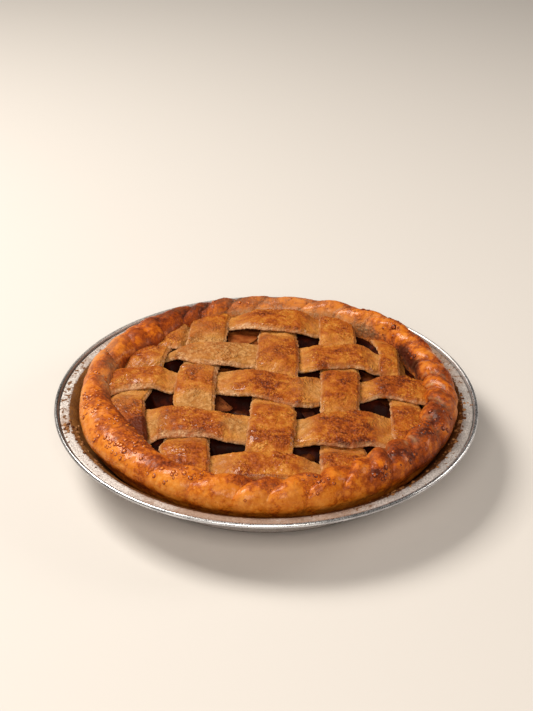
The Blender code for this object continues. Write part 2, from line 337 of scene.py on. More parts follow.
def tinProfile():
    s = tinShape
    foil, bead, corner = s["foil"], s["bead"], s["corner"]
    flange = s["height"] - 1.6 * bead
    middle = s["radius"] - bead
    lean = math.atan2(s["wallTop"] - s["baseRadius"], s["height"] - bead)
    across = foil / math.cos(lean)
    line = [(0.0, 0.0), (40 * mm, 0.0), (75 * mm, 0.0)]
    for k in range(5):
        a = math.radians(-90 + 55 * k / 4)
        line.append((s["baseRadius"] - corner + 1.6 * corner * math.cos(a), 1.6 * corner * (1 + math.sin(a))))
    for height in np.linspace(corner * 1.4, flange - 1.5 * foil, 9):
        line.append((wallRadius(height), height))
    line += [(s["wallTop"] + bead * 0.6, flange - foil), (s["wallTop"] + 2 * bead, flange - foil),
             (middle - bead * 1.2, flange - foil)]
    for k in range(15):
        a = math.radians(-110 + 262 * k / 14)
        line.append((middle + bead * math.cos(a), s["height"] - bead + bead * math.sin(a)))
    line += [(middle - 1.06 * bead, flange - s["groove"] + foil), (middle - 1.18 * bead, flange - s["groove"] + foil),
             (middle - 1.36 * bead, flange - 0.05 * mm), (middle - 1.6 * bead, flange + 0.1 * mm)]
    for share in (0.2, 0.4, 0.6, 0.8, 1.0):
        line.append((middle - 1.8 * bead + (s["wallTop"] + 0.28 * bead - middle + 1.8 * bead) * share, flange))
    line.append((s["wallTop"] + 0.04 * bead, flange - 0.2 * mm))
    for height in np.linspace(flange - 2 * foil, corner + foil, 8):
        line.append((wallRadius(height) - across, height))
    line += [(s["baseRadius"] - corner, foil), (75 * mm, foil), (40 * mm, foil), (0.0, foil)]
    mesh = bpy.data.meshes.new("tinProfile")
    mesh.from_pydata([(r, 0.0, z) for r, z in line], [(k, k + 1) for k in range(len(line) - 1)], [])
    return mesh


def tinTree(material, values):
    b, given = newTree("turnedTin", values)
    flangeIn, flangeOut, foot, fade = (given[name] for name in ("flangeIn", "flangeOut", "wallFoot", "fade"))
    sheet = b.add("GeometryNodeMeshGrid", {"Size X": 1.0, "Size Y": 1.0, "Vertices X": given["sides"] + 1,
                                           "Vertices Y": given["rows"]})
    here = b.add("GeometryNodeInputPosition")
    across, up, _ = b.split(here)
    angle = (across + 0.5) * turn
    row = b.maths("ROUND", (up + 0.5) * (given["rows"] - 1))
    radius, _, height = b.split(b.add("GeometryNodeSampleIndex", {0: given["Geometry"], "Value": here, "Index": row},
                                      {"data_type": "FLOAT_VECTOR"}))
    cosine, sine = b.maths("COSINE", angle), b.maths("SINE", angle)
    # a hand-pressed pan is never quite even: the pleats come and go
    wander = b.add("ShaderNodeTexNoise", {"Vector": b.join(cosine, sine, 0.0), "Scale": 9.0, "Detail": 2.0})
    onFlange = b.between(radius, flangeIn, flangeIn + fade)
    onFlange *= 1 - b.between(radius, flangeOut - fade, flangeOut)
    pleat = b.maths("SINE", angle * given["pleats"] + wander * given["pleatWander"]) * onFlange * given["pleatDepth"]
    pleat *= wander * 2.6 - 0.35
    onWall = b.between(radius, foot, foot + 4 * mm)
    onWall *= 1 - b.between(radius, flangeIn - 5 * mm, flangeIn - 1 * mm)
    flute = b.maths("ABSOLUTE", b.maths("SINE", angle * given["flutes"] / 2))
    radius += (flute - 1) * onWall * given["fluteDepth"]
    spot = b.join(cosine * radius, sine * radius, height + pleat)
    shaped = b.add("GeometryNodeSetPosition", {"Geometry": sheet, "Position": spot})
    closed = b.add("GeometryNodeMergeByDistance", {"Geometry": shaped, "Distance": 0.02 * mm})
    return closeTree(b, b.add("GeometryNodeSetShadeSmooth", {"Geometry": closed}), material)


def foilMaterial():
    s = tinShape
    material, b = newMaterial("pressedFoil")
    broad, fine = b.mist(16, 2.0, 0.55, 0.35), b.mist(0.9, 3.0, 0.65, 0.3)
    specks = b.cloud(2.2, 2.0, 0.5)
    x, y, z = b.split(b.place())
    radius = b.maths("SQRT", x * x + y * y)
    insideFace, stained, spotted = b.tone("inside"), b.tone("stained"), b.tone("spotted")
    bead = b.between(radius, *s["beadEdge"])
    groove = b.between(radius, *s["grooveEdge"]) * (1 - bead)
    # the bead is painted brighter at the front than at the back: a painted reflection on the silver foil
    shine = bead * (1 - b.between(y, 0.0, 60 * mm) * 0.65)
    leftSide = 1 - b.between(x, -110 * mm, -45 * mm)
    onTop = b.between(z, *s["flangeLevel"])
    ragged = radius + (specks - 0.5) * 2.4 * mm
    wall = insideFace * (1 - b.between(ragged, *s["mouth"]))
    baked = b.between(specks + spotted * 0.22, 0.675, 0.715) * onTop * (1 - bead)  # syrup that spat and baked on
    film = b.between(specks * 0.4 + broad * 0.3 + stained * 0.9, 0.42, 0.9) * onTop * (1 - bead * 0.9)
    clean = b.blend(fine, (0.41, 0.37, 0.352), (0.75, 0.70, 0.672))
    colour = b.blend(film * 0.75, clean, (0.27, 0.145, 0.080))
    # the inner wall is coloured dark bronze-brown, golden on the left
    bronze = b.blend(fine, (0.055, 0.015, 0.003), (0.16, 0.055, 0.010))
    golden = b.blend(fine * 0.6 + broad * 0.4, (0.085, 0.027, 0.005), (0.27, 0.115, 0.026))
    bronze = b.blend(leftSide, bronze, golden)
    colour = b.blend(b.limit(wall * 1.1), colour, bronze)
    colour = b.blend(b.limit(baked), colour, (0.15, 0.065, 0.024))
    # on the left the bead's silver is painted dark grey, a painted reflection too
    silver = b.blend(broad, (0.46, 0.46, 0.48), (0.74, 0.74, 0.76))
    colour = b.blend(shine, colour, b.blend(leftSide * 0.75, silver, (0.26, 0.25, 0.25)))
    # a near-black line painted into the groove under the bead: painted shade
    colour = b.blend(groove * onTop * 0.85, colour, (0.06, 0.055, 0.055))
    metal = b.limit(0.62 - baked - wall * 0.62 - film * 0.3 + shine * 0.38)
    rough = b.limit(0.30 + fine * 0.22 + onTop * 0.12 + wall * 0.2 - shine * 0.22)
    bump = roughen(b, (fine * 0.8 + specks * 0.6) * (1 - bead * 0.75), 0.14 * mm, 0.7)
    closeMaterial(b, colour, rough, metal=metal, bump=bump, specular=0.2)
    return material


def dressTin():
    s = tinShape
    material = foilMaterial()
    profile = tinProfile()
    names = ("sides", "pleats", "pleatDepth", "pleatWander", "flutes", "fluteDepth", "fade")
    values = {name: s[name] for name in names}
    values.update(rows=len(profile.vertices), flangeIn=s["wallTop"] + 0.4 * s["bead"],
                  flangeOut=s["radius"] - 3.0 * s["bead"], wallFoot=s["baseRadius"] + 0.3 * mm)
    tin = grow("pieTin", profile, tinTree(material, values), values)
    faceOutward(tin.data)
    points = meshPoints(tin.data)
    degrees, radius = polar(points)
    height = points[:, 2]
    inside = (radius < wallRadius(height) - 0.15 * s["foil"] - s["fluteDepth"]) & (height > 0.6 * s["foil"])
    # and the round lip where it turns into the flange
    above, out = s["lip"]
    inside |= (height > above) & (radius < out) & (radius > wallRadius(height) - 0.2 * mm)
    setTone(tin.data, "inside", inside)
    setTone(tin.data, "stained", nearPlaces(degrees, s["stains"]))
    setTone(tin.data, "spotted", nearPlaces(degrees, s["spots"]))
    return finishPiece(tin, material, ["tin"])


# the rolled and twisted rim

rimShape = {
    "radius": 100.0 * mm,
    "halfWidth": 9.4 * mm,
    "halfHeight": 9.6 * mm,
    "centre": 32.6 * mm,
    "slant": 8.0,
    "around": 1200,
    "rollSteps": 66,
    "firstLean": -35.0,
    "sideRelief": 0.45,
    "wallGap": 1.66 * mm,
    "degreeLength": 1.75,
    "twists": 64,
    "uneven": 0.5 * mm,
    "crease": 0.3 * mm,
    "blister": 0.3 * mm,
    # relief as (size in mm, seed, height in mm)
    "swells": ((11, 1, 0.55), (4.2, 2, 0.26), (1.7, 3, 0.1)),
    # the dough up the wall as (height, brown, pale), and down inside as (radius, height, brown), mm
    "climb": ((2.8, 0.3, 0.2), (10, 0.4, 0.1), (17, 0.55, 0)),
    "descent": ((93.4, 24, 0.4), (92.6, 17, 0.3), (84, 4.9, 0.3)),
    # folds as (angle at the inner side, depth in mm)
    "folds": ((-104.2, 2.1), (-91.2, 2.3), (-82.1, 2.2), (-71, 2.3), (-60.5, 2.3), (-52.5, 1.3), (-44.1, 2.3),
        (-34.7, 2.4), (-21, 2.2), (-8.9, 2), (-0.6, 1.7), (6.9, 1.7), (17.2, 1.8), (28, 1.5), (38.5, 1.3), (50, 1.4),
        (63, 1.5), (78, 1.6), (95.6, 1.6), (106.7, 1.5), (116.9, 1.5), (124.9, 1.6), (137.7, 0.8), (146.9, 0.4),
        (153.2, 0.9), (166, 1.5), (181, 0.55), (197, 0.45), (212, 0.5), (228, 0.6), (243, 1)),
    "inward": ((142, 14, 7.0 * mm), (-146, 24, 3.0 * mm), (-150, 16, 4.0 * mm), (-62, 18, 2.4 * mm),
        (-42, 9, 1.5 * mm), (-48, 9, 2.2 * mm), (50, 34, -2.4 * mm)),
    "outward": ((-92, 30, 2.2 * mm), (-152, 14, 1.6 * mm), (-20, 22, 1.4 * mm), (180, 22, -1.8 * mm),
        (120, 16, -1.5 * mm)),
    "higher": ((40, 14, 2.2 * mm), (66, 7, 2.0 * mm), (75, 16, -1.2 * mm), (108, 16, -1.4 * mm),
        (-60, 20, 1.0 * mm)),
    # bakes and painted shade as (angle, lean, spread of each, amount): lean 0 outer side, 90 on top, 180 inner side
    "brownedAndShaded": ((148, 100, 8, 50, -0.16), (20, 180, 11, 26, 0.85), (23, 162, 10, 24, 0.45), (-68, 45, 9, 40, 0.24),
        (-78, 25, 7, 30, 0.1), (-50, 45, 13, 40, 0.06), (-36, 50, 10, 40, 0.02), (-47.7, 69, 3.2, 16, 0.55),
        (-57.5, 45, 2, 13, 0.6), (-32.5, 86, 2.6, 16, 0.45), (-42.5, 41, 2.2, 14, 0.45), (-22.7, 82, 3.4, 18, 0.4),
        (-66, 60, 2, 14, 0.25), (30, 108, 15, 26, -0.26), (50, 100, 12, 34, -0.2), (11, 114, 6, 26, -0.26),
        # (42, 175) paints shade on the rope's inner side at the right; (196, 145) and (214, 145) darken the inner
        # side at the left front, partly browning and partly painted shade
        (42, 175, 18, 22, 0.35), (196, 145, 20, 30, 0.3), (214, 145, 20, 28, 0.3), (188, 40, 22, 40, 0.04),
        (-98, 100, 18, 30, 0.14), (172, 110, 12, 40, 0.12), (180, 62, 9, 16, 0.08), (152, 80, 16, 40, 0.06),
        # the entries at negative lean, here and on the next line, paint shade at the rope's foot by the tin
        (125, 90, 20, 60, 0.18), (-28, 60, 22, 50, 0.12), (20, 80, 30, 50, 0.1), (-138, -28, 20, 18, 0.6),
        (-100, -33, 22, 10, 0.2), (-36, -10, 24, 24, 0.5), (-122, 100, 8, 30, 0.16), (-96, 112, 7, 26, 0.26),
        (-78, 118, 6, 24, 0.22), (-66, 110, 5, 22, 0.18), (-47, 105, 7, 30, 0.24), (-27, 95, 9, 34, 0.22),
        (-14, 70, 8, 40, 0.2), (3, 60, 8, 40, 0.24), (12, 100, 6, 26, 0.16), (30, 62, 14, 26, 0.22),
        (52, 70, 12, 24, 0.2), (84, 66, 12, 22, 0.2), (104, 60, 9, 26, 0.24), (120, 84, 12, 60, 0.26),
        (138, 75, 12, 30, 0.16), (140, 172, 20, 22, 0.4), (160, 170, 12, 16, 0.25), (-44, 60, 10, 40, 0.16),
        # (-40, 40) paints the front right darker as shade, where less light falls
        (-15, 90, 26, 60, 0.14), (100, 70, 14, 60, 0.2), (-40, 40, 16, 60, 0.12), (215, 105, 40, 40, 0.06),
        (130, 100, 30, 80, 0.12)),
    # where the crust blistered less, and where the folds have floury lips
    "smoother": ((140, 40, 0.95), (-100, 26, 0.3), (-14, 34, 0.55), (-60, 18, 0.4)),
    "lips": ((-28, 24, 0.6), (2, 17, 0.5), (54, 14, 0.4)),
    # where the valleys between the folds stay lighter
    "front": ((-95, 34, 1.1), (-42, 24, 0.75)),
    "paler": ((178, 128, 6, 28, 0.32), (-177, 155, 4, 24, 0.4), (56, 172, 14, 26, 0.4), (80, 165, 22, 24, 0.5),
        (160, 70, 7, 34, 0.26), (85, 100, 22, 50, 0.22), (168, 150, 4, 30, 0.35), (170, 40, 12, 30, 0.1),
        (-5, 20, 14, 16, 0.1), (100, 168, 10, 20, 0.4)),
}


def rimPlan(degrees):
    # radius of the roll's middle, half its width and half its height
    s = rimShape
    outward, inward, higher = (nearPlaces(degrees, s[name]) for name in ("outward", "inward", "higher"))
    return s["radius"] + 0.5 * (outward - inward), s["halfWidth"] + 0.5 * (inward + outward), s["halfHeight"] + higher


def foldAt(degrees, outward):
    # relief of the twists (0 or below), the way from the fold in mm, the twist's number and the fold's depth
    s = rimShape
    folds = sorted(((a + 720.0) % 360.0, d) for a, d in s["folds"])
    places = np.array([f[0] for f in folds] + [folds[0][0] + 360.0])
    depths = np.array([f[1] for f in folds] + [folds[0][1]]) * mm
    here = (degrees + s["slant"] * outward) % 360.0
    here = np.where(here < places[0], here + 360.0, here)
    number = np.clip(np.searchsorted(places, here, side="right") - 1, 0, len(places) - 2)
    width = places[number + 1] - places[number]
    share = np.clip((here - places[number]) / width, 0.0, 1.0)
    depth = depths[number] * (1 - share) + depths[number + 1] * share
    swell = np.sin(math.pi * share ** 0.8) ** 1.05
    arc = np.minimum(share, 1 - share) * width * s["degreeLength"]
    return depth * (swell - 1.0), arc, number, depth


def rimFace(degrees):
    radius, halfWidth, _ = rimPlan(degrees)
    return radius - halfWidth - foldAt(degrees, 0.0 * degrees)[0]


def nearRimPlaces(degrees, lean, places):
    return sum(amount * bell(angleFrom(degrees, middle), 0, spread) * bell(lean, tilt, spreadLean)
               for middle, tilt, spread, spreadLean, amount in places)


def dressRim():
    s = rimShape
    degrees = np.arange(s["around"]) * 360.0 / s["around"]
    middle, halfWidth, halfHeight = rimPlan(degrees)
    rougher = 1 - np.clip(nearPlaces(degrees, s["smoother"]), 0, 1)
    front = np.clip(nearPlaces(degrees, s["front"]), 0, 1)
    uneven = np.random.default_rng(31).uniform(-1, 1, s["twists"])
    rows = []

    def keep(radius, height, bakeAndShade, pale, wash=0.0):
        rows.append((hoop(degrees, radius, height * mm), bakeAndShade, pale, wash))

    def againstWall(height):
        return wallRadius(height * mm) - s["wallGap"]

    keep(88.2 * mm, 0.9, 0.3, 0.2)
    for height, bakeAndShade, pale in s["climb"]:
        keep(againstWall(height), height, bakeAndShade, pale)
    keep(againstWall(17) + (middle + halfWidth - againstWall(17)) * 0.4, 22, 0.4, 0.0, 0.2)
    # over the roll, from its outer side to its inner side
    for lean in np.linspace(s["firstLean"], 180.0, s["rollSteps"]):
        tilt = math.radians(lean)
        outward = 0.5 + 0.5 * math.cos(max(tilt, 0.0))
        flat = hoop(degrees, middle + 9 * mm * math.cos(tilt), s["centre"] + 9 * mm * math.sin(tilt))
        drift = 2.2 * lumps(flat, 9, 12) * math.sin(max(0.0, min(tilt, 2.6)))
        relief, arc, number, depth = foldAt(degrees + drift, outward)
        strength = 1.0 + 0.35 * bell(lean, 105, 40)
        if lean < 90:
            strength *= s["sideRelief"] + (1 - s["sideRelief"]) * max(0.0, math.sin(tilt))
        if lean < 0:
            strength *= 1 + lean / 90.0
        flat = hoop(degrees, middle + halfWidth * math.cos(tilt), s["centre"] + halfHeight * math.sin(tilt))
        crease = bell(arc, 0, 0.9) * np.minimum(depth / (2.2 * mm), 1.0)
        crease *= 0.35 + 0.65 * ease(lumps(flat, 6, 14), -0.5, 0.3)
        where = ease(lumps(flat, 15, 9), 0.0, 0.35)
        near = cells(flat, 3.3, 2)
        swell = (relief - s["crease"] * crease) * strength
        swell += uneven[number % s["twists"]] * s["uneven"] * (1 - bell(arc, 0, 4)) * min(1.0, strength)
        for size, seed, amount in s["swells"]:
            swell += amount * mm * lumps(flat, size, seed)
        swell += s["blister"] * where * rougher * (1 - ease(near, 0.05, 0.42))
        # nothing swells outward low down, where the tin is close
        keepIn = 1.0 if lean > 10 else max(0.0, (lean + 35) / 45)
        swell = np.where(swell > 0, swell * keepIn, swell)
        # besides the browning, the table's places paint shade at the rope's foot, on its inner side and on the front
        # right
        bakeAndShade = 0.30 + nearRimPlaces(degrees, lean, s["brownedAndShaded"]) + (0.16 - 0.13 * front) * crease
        bakeAndShade += 0.12 * bell(lean, 105, 38) + 0.22 * lumps(flat, 13, 5)
        bakeAndShade += 0.10 * lumps(flat, 4.5, 6) + 0.14 * where * (1 - ease(near, 0.0, 0.6))
        bakeAndShade -= (0.09 - 0.08 * front) * relief / mm + 0.07 * bell(lean, 35, 22)
        bakeAndShade += uneven[(number * 7) % s["twists"]] * 0.05 - 0.10 * ease(40 - lean, 0, 45)
        lip = bell(arc, 1.7, 0.9) * bell(lean, 120, 50)
        pale = nearRimPlaces(degrees, lean, s["paler"]) + 0.10 * np.maximum(0, lumps(flat, 7, 8))
        pale += lip * nearPlaces(degrees, s["lips"]) * (0.5 + lumps(flat, 5, 15))
        ring = flat + hoop(degrees, swell * math.cos(tilt), swell * math.sin(tilt))
        rows.append((ring, bakeAndShade, np.clip(pale, 0, 1), 1.0 - 0.9 * ease(lean, 150, 178)))
    keep(rimFace(degrees), 27, 0.45, 0.15)
    for radius, height, bakeAndShade in s["descent"]:
        keep(radius * mm, height, bakeAndShade, 0.3)
    rings, bakesAndShades, pales, washes = zip(*rows)
    tones = {"bakeAndShade": bakesAndShades, "pale": pales, "wash": washes, "rougher": [rougher] * len(rows)}
    return finishPiece(skin("crustRim", rings, tones), rimMaterial(), ["crust"])


def rimMaterial():
    material, b = newMaterial("washedCrust")
    bakeAndShade, pale, wash, rougher = (b.tone(name) for name in ("bakeAndShade", "pale", "wash", "rougher"))
    fine, middle, broad = b.mist(0.8, 4.0, 0.65, 0.36), b.mist(3.2, 3.0, 0.6, 0.36), b.mist(9, 2.0, 0.5, 0.36)
    blister = b.pebbles(2.0)
    blotch = b.between(bakeAndShade + (middle - 0.5) * 0.34 + (broad - 0.5) * 0.36, 0.30, 0.70)
    # the brown tone carries painted shade as well as browning, and so does the bake worked out from it
    bakeWithShade = 0.13 + bakeAndShade * 0.66 + blotch * (0.20 - blister * 0.28 * rougher) + (broad - 0.5) * (0.06 + rougher * 0.09)
    bakeWithShade = b.limit(bakeWithShade + (fine - 0.5) * (0.03 + blotch * 0.08) + (middle - 0.5) * 0.15)
    colour = b.ramp(bakeWithShade, rimColours)
    floury = b.blend(fine, (0.42, 0.22, 0.08), (0.62, 0.40, 0.21))
    colour = b.blend(b.limit(pale + (middle - 0.5) * 0.5 * pale), colour, floury)
    pits = b.cloud(0.45, 2.0, 0.5)
    rough = b.limit(0.36 + (1 - wash) * 0.3 + blotch * 0.12 + pale * 0.2)
    height = (fine * 0.3 + pits * 0.2 + blister * 1.3) * (0.12 + blotch * rougher) + middle * 0.6
    bump = roughen(b, height, 0.30 * mm, 0.9)
    coat = b.limit(wash * 0.22 * (1 - blotch * 0.4) * (0.25 + rougher * 0.75))
    closeMaterial(b, colour, rough, bump=bump, coat=coat, coatRough=0.16, specular=0.12)
    return material


rimColours = (
    (0.00, (0.74, 0.320, 0.075)),
    (0.20, (0.63, 0.205, 0.023)),
    (0.40, (0.50, 0.122, 0.006)),
    (0.58, (0.36, 0.070, 0.004)),
    (0.75, (0.25, 0.042, 0.003)),
    (0.90, (0.15, 0.022, 0.002)),
    (1.00, (0.07, 0.010, 0.002)),
)


# the woven strips

weave = {
    "thick": 3.0 * mm,
    "crown": 0.5 * mm,
    "low": 31.0 * mm,
    "high": 34.6 * mm,
    "margin": 1.2 * mm,
    "reach": 110.0 * mm,
    "length": 370,
    "intoRim": 3.0 * mm,
    "rise": 0.8 * mm,
    "sag": 0.5 * mm,
    "blister": 0.3 * mm,
    # relief of the top and waver of the cut edges, as (size in mm, seed, height in mm)
    "puffs": ((7, 0, 0.75), (3.2, 2, 0.4), (1.5, 3, 0.14)),
    "wavers": ((11, 0, 0.5), (4, 1, 0.55), (1.6, 4, 0.3)),
    # each strip as middle, drift along its length, width and far end, then how its edge on the lower side and its
    # edge on the higher side wander, as (along, sideways, lift); mm
    "back": (
        (-78.3, 0.19, 24, 110, (),
         ((27, -0.9), (-14, -0.7), (-24, 2.3), (-32, 4.8), (-40, 8), (-50, 11), (-60, 12))),
        (-40, 0.055, 24, 110, ((98, -1.3), (81, -0.3), (58, -0.2), (24, -0.4), (9, -1.5), (0, -1.3), (-15, -0.5),
          (-20, 0.7), (-35, 0), (-52, -1.8), (-58, -3.2), (-66, -1.4), (-71, 2)),
         ((58, 0), (24, -2.4), (3, -2.2), (-9, -1.3), (-22, -0.2), (-56, 0.2), (-68, 1.7), (-77, 2.6))),
        (4.4, 0.056, 26, 110, ((63, 0.1), (38, 0.6), (23, 1), (-12, 0.7), (-28, 1.6), (-60, 1.1)),
         ((70, -3), (42, -1), (30, 0.6), (-23, -0.2), (-36, 1.7), (-45, 1.5), (-57, 0.8))),
        (42, 0.035, 23, 110, ((54, 0.1), (5, 1.7), (-7, 1.7), (-17, 1.2), (-75, 1.4)),
         ((70, -0.6), (11, 1), (-6, 0.6), (-16, 0), (-48, 0), (-58, 3), (-70, 5))),
        (78.1, -0.12, 18, 110, ((41, 4.6), (28, 2.1), (17, 0), (-11, 0.9), (-20, -1), (-27, -2.7), (-35, -3.7),
          (-46, -5.1)),
         ((43, -1.9), (30, -4.2), (17, -6.7), (5, -2), (-5, 0))),
    ),
    "cross": (
        (76, -0.03, 26, 53, ((-60, -17, -1.5), (-52, -18, -1.5), (-46, -8), (-42, 0), (-30, 8, 1.4), (-22, 11, 2),
          (-14, 10, 1.6), (-7, 7, 1), (4, 4.2, 0.8), (13, 3, 0.4), (20, 2), (31, 4)),
         ((-40, 0), (-25, 3, 1), (-10, 4, 1.6), (8, 5, 2.2), (27, 5, 2), (34, 4, 0.6))),
        (34, -0.035, 25, 110, ((-62, 12), (-56, 11.5), (-50, 8), (-45, 4.5), (-40, 2.7), (-30, 1.6), (-24, 1.8),
          (-17, 3), (-10, 4.5), (10, 0), (20, -0.5), (26, -2.5), (32, -2), (36, 0), (44, 1), (50, 2.8), (56, 2),
          (60, 0.7), (66, 2.5), (78, 2.5), (84, 2.5, -4.5), (95, 2.5, -5)),
         ((-60, -4), (-52, -5), (-48, -1), (-44, 1), (-24, 2), (-17, 4, 0.3), (-10, 5, 0.8), (0, 5, 0.5), (14, 4),
          (20, 3.5), (27, 1.3), (36, 0.5), (45, 2.4), (51, 4), (60, 5), (64, 3.5), (68, 0), (78, 0), (84, 0, -4.5),
          (95, 0, -5))),
        (0.5, -0.045, 24, 110, ((-89, 2.5), (-84, 7.5), (-76, 9.5), (-68, 9), (-62, 7.6), (-57, 6.8), (-45, 7.2),
          (-31, 9), (-29, 8), (-25, 6.5), (-21, 4.8), (-16, 1.9), (-10, 0.1), (-5, -1), (2, -2.5, -0.7),
          (8, -4.5, -1.4), (13, -6, -1.9), (19, -7, -2), (25, -5.5, -1.3), (29, -3.5), (40, -1), (55, 3.8), (60, 5.2),
          (64, 5.9), (70, 4.8), (78, 4.4), (84, 2.8)),
         ((-90, 5), (-70, 5.5), (-58, 5), (-48, 4.4), (-42, 3), (-29, 4.4), (-25, 5.6), (-20, 5.4), (-13, 5),
          (-1, 2.9), (6, 0.5), (14, -1.9), (17, -4.2), (20, -3.5), (23, -1.7), (29, 2.8), (34, 2), (48, -1),
          (56, -0.6), (65, 0.8), (73, 3), (80, 5.2), (85, 5.2), (90, 3))),
        (-41.5, -0.03, 28, 110, ((-62, 2.5), (-58, 5), (-55, 5.6), (-33, 5.2), (-30, 3), (-24, 1.5), (-13, 1.1),
          (0, 0.5), (18, 0), (22, -0.9), (27, -1.7), (33, -2.3), (40, -2.8), (47, -3.1), (52, -1.5), (61, 2.5)),
         ((-64, 6), (-57, 4), (-49, 2), (-42, 1.3), (-38, 0.6), (-31, -1.3), (-25, -2.8), (-19, -2.2), (-13, -0.6),
          (0, -1), (12, -2), (18, -2.9), (27, -3), (34, -0.2), (41, 1.1), (46, 2.5), (51, 3.6), (69, 3.8))),
        (-76, -0.03, 24, 110, (),
         ((-28, -1.3), (-21, -2.5), (-15, -3.2), (-7, -2.5), (6, -2.5), (13, -3.8), (18, -4.8), (22, -5.3),
          (26, -6.2), (30, -7.4))),
    ),
    # browned spots, with a little painted shade, and floury spots on the lattice, (x, y, spread, amount), mm
    "brownedAndShaded": ((4, 78, 14, 0.06), (0, 0, 13, 0.14), (-20, 4, 9, 0.08), (40, 6, 12, 0.1), (6, -36, 14, 0.08),
        (-2, -49, 6, -0.22), (4, -57, 8, 0.2), (62, 2, 17, 0.2), (54, -44, 22, 0.2), (-42, -44, 17, 0.16),
        (8, -20, 9, 0.12), (-42, -74, 15, 0.24), (78, 2, 10, 0.16), (-84, -20, 12, 0.12), (4, 32, 13, 0.08),
        # (39, -63) paints shade on the fourth lengthwise strip, just below the fourth cross strip's near edge
        (42, 40, 12, 0.04), (-78, 24, 9, 0.16), (44, -66, 12, 0.12), (39, -63, 7, 0.22), (14, 34, 7, 0.12),
        (-44, 10, 5, 0.16), (-29, 4, 6, 0.14)),
    # the end of the leftmost strip, painted dark as shade under the rope
    "ropeShade": ((-70, -43, 10, 0.75), (-64, -53, 9, 1), (-72, -34, 7, 0.15)),
    # where the cut side stands up pale and wide
    "torn": ((-14, 66, 15, 1), (-48, -54, 15, 1), (-76, -4, 12, 0.8), (-28, 24, 14, 0.7), (60, -58, 14, 0.5),
        (24, -14, 8, 0.5), (-20, 3, 11, 1.2), (-47, 0, 8, 0.5), (-50, 58, 12, 0.7)),
    "floury": ((-32, 36, 20, 2), (-40, -15, 6, 1.8), (-82, -14, 11, 0.7), (-50, 30, 8, 0.8), (-62, -40, 8, 0.85),
        (-17, -41, 6, 2), (3, -57, 9, -0.9), (-39, -17, 8, 1.6), (-57, 32, 8, 0.6), (20, -38, 6, 0.45),
        (23, -3, 9, 0.8), (2, 28, 9, 0.2), (24, -42, 6, 0.45), (44, 20, 7, 0.35), (4, 54, 9, 0.45), (-80, 0, 8, 0.3),
        (-46, 66, 14, 0.5), (24, -72, 7, 0.3), (-52, 72, 9, 0.6), (-20, -76, 8, 0.3)),
}


def stripAt(index, crosswise):
    return weave["cross" if crosswise else "back"][index]


def stripMiddle(strip, along):
    return strip[0] * mm + strip[1] * along


def edgeWander(strip, share, along):
    # how far a line of a strip strays sideways and up, its place across given from -1 to 1
    strays = []
    for k in (1, 2):
        values = []
        for edge in strip[4:6]:
            edge = sorted(edge) if edge else [(0, 0)]
            places = [p[0] * mm for p in edge]
            heights = [(p[k] if len(p) > k else 0.0) * mm for p in edge]
            values.append(sum(np.interp(along + shift * mm, places, heights) for shift in (-2, 0, 2)) / 3)
        strays.append(0.5 * (1 - share) * values[0] + 0.5 * (1 + share) * values[1])
    return strays


def crownHeight(x, y):
    # the lattice rises a little in the middle and falls towards the rim
    return (0.8 - 3.6 * (np.hypot(x, y) / (90 * mm)) ** 3.5) * mm


def levelLine(index, offset, crosswise, alongs):
    # how high one line of a strip lies along its length, before the crown
    strip = stripAt(index, crosswise)
    flats = []
    for j, other in enumerate(weave["back" if crosswise else "cross"]):
        place = other[0] * mm
        for _ in range(4):
            place = stripMiddle(other, stripMiddle(strip, place) + offset)
        # every second crossing goes over
        up = weave["high"] if (index + j) % 2 == (0 if crosswise else 1) else weave["low"]
        half = 0.5 * other[2] * mm + weave["margin"]
        here = stripMiddle(strip, place) + offset
        start = place - half + edgeWander(other, -1, here)[0]
        end = place + half + edgeWander(other, 1, here)[0]
        if start < strip[3] * mm:
            flats.append((start, min(end, strip[3] * mm), up))
    flats.sort()
    knots = []
    for k, (start, end, up) in enumerate(flats):
        if k:
            before, level = flats[k - 1][1:]
            for share in (0.2, 0.4, 0.6, 0.8):
                knots.append((before + (start - before) * share, level + (up - level) * ease(share, 0, 1)))
        knots += [(start, up), (end, up)]
    step, taps = 0.5 * mm, 14
    table = np.arange(-weave["reach"] - 0.02, weave["reach"] + 0.02, step)
    heights = np.interp(table, [k[0] for k in knots], [k[1] for k in knots])
    kernel = bell(np.arange(-taps, taps + 1) * step, 0, 2.2 * mm)
    heights = np.convolve(np.pad(heights, taps, mode="edge"), kernel / kernel.sum(), mode="valid")
    return np.interp(alongs, table, heights)


def stripSection(half):
    # (offset, lift, cut side) round the strip, from its underside
    thick, crown = weave["thick"], weave["crown"]
    points = [(share * (half - 0.7 * mm), 0.0, 0.0) for share in (0.9, 0.45, 0.0, -0.45, -0.9)]
    side = ((-0.75, 0.07, 1.0), (-0.20, 0.20, 1.0), (0.0, 0.36, 1.0), (-0.14, 0.52, 0.9), (-0.42, 0.68, 0.65),
            (-0.85, 0.82, 0.3), (-1.45, 0.92, 0.1))
    left = [(-half - out * mm, lift * thick, cut) for out, lift, cut in side]
    points += left
    for share in np.linspace(-0.87, 0.87, 38):
        points.append((share * half, thick + crown * (1 - abs(share) ** 2.4) - 0.16 * mm * abs(share) ** 8, 0.0))
    return points + [(-offset, lift, cut) for offset, lift, cut in reversed(left)]


def rimStop(index, offset, crosswise, direction):
    # how far one line of a strip goes before it is inside the rim
    strip = stripAt(index, crosswise)
    limit = strip[3] * mm if direction > 0 else weave["reach"]
    alongs = np.linspace(0, limit, 441)
    sides = stripMiddle(strip, direction * alongs) + offset
    sides += edgeWander(strip, 2 * offset / (strip[2] * mm), direction * alongs)[0]
    x, y = (direction * alongs, sides) if crosswise else (sides, direction * alongs)
    inside = np.hypot(x, y) < rimFace(np.degrees(np.arctan2(y, x))) + weave["intoRim"]
    stops = np.nonzero(~inside)[0]
    return direction * (alongs[stops[0]] if len(stops) else limit)


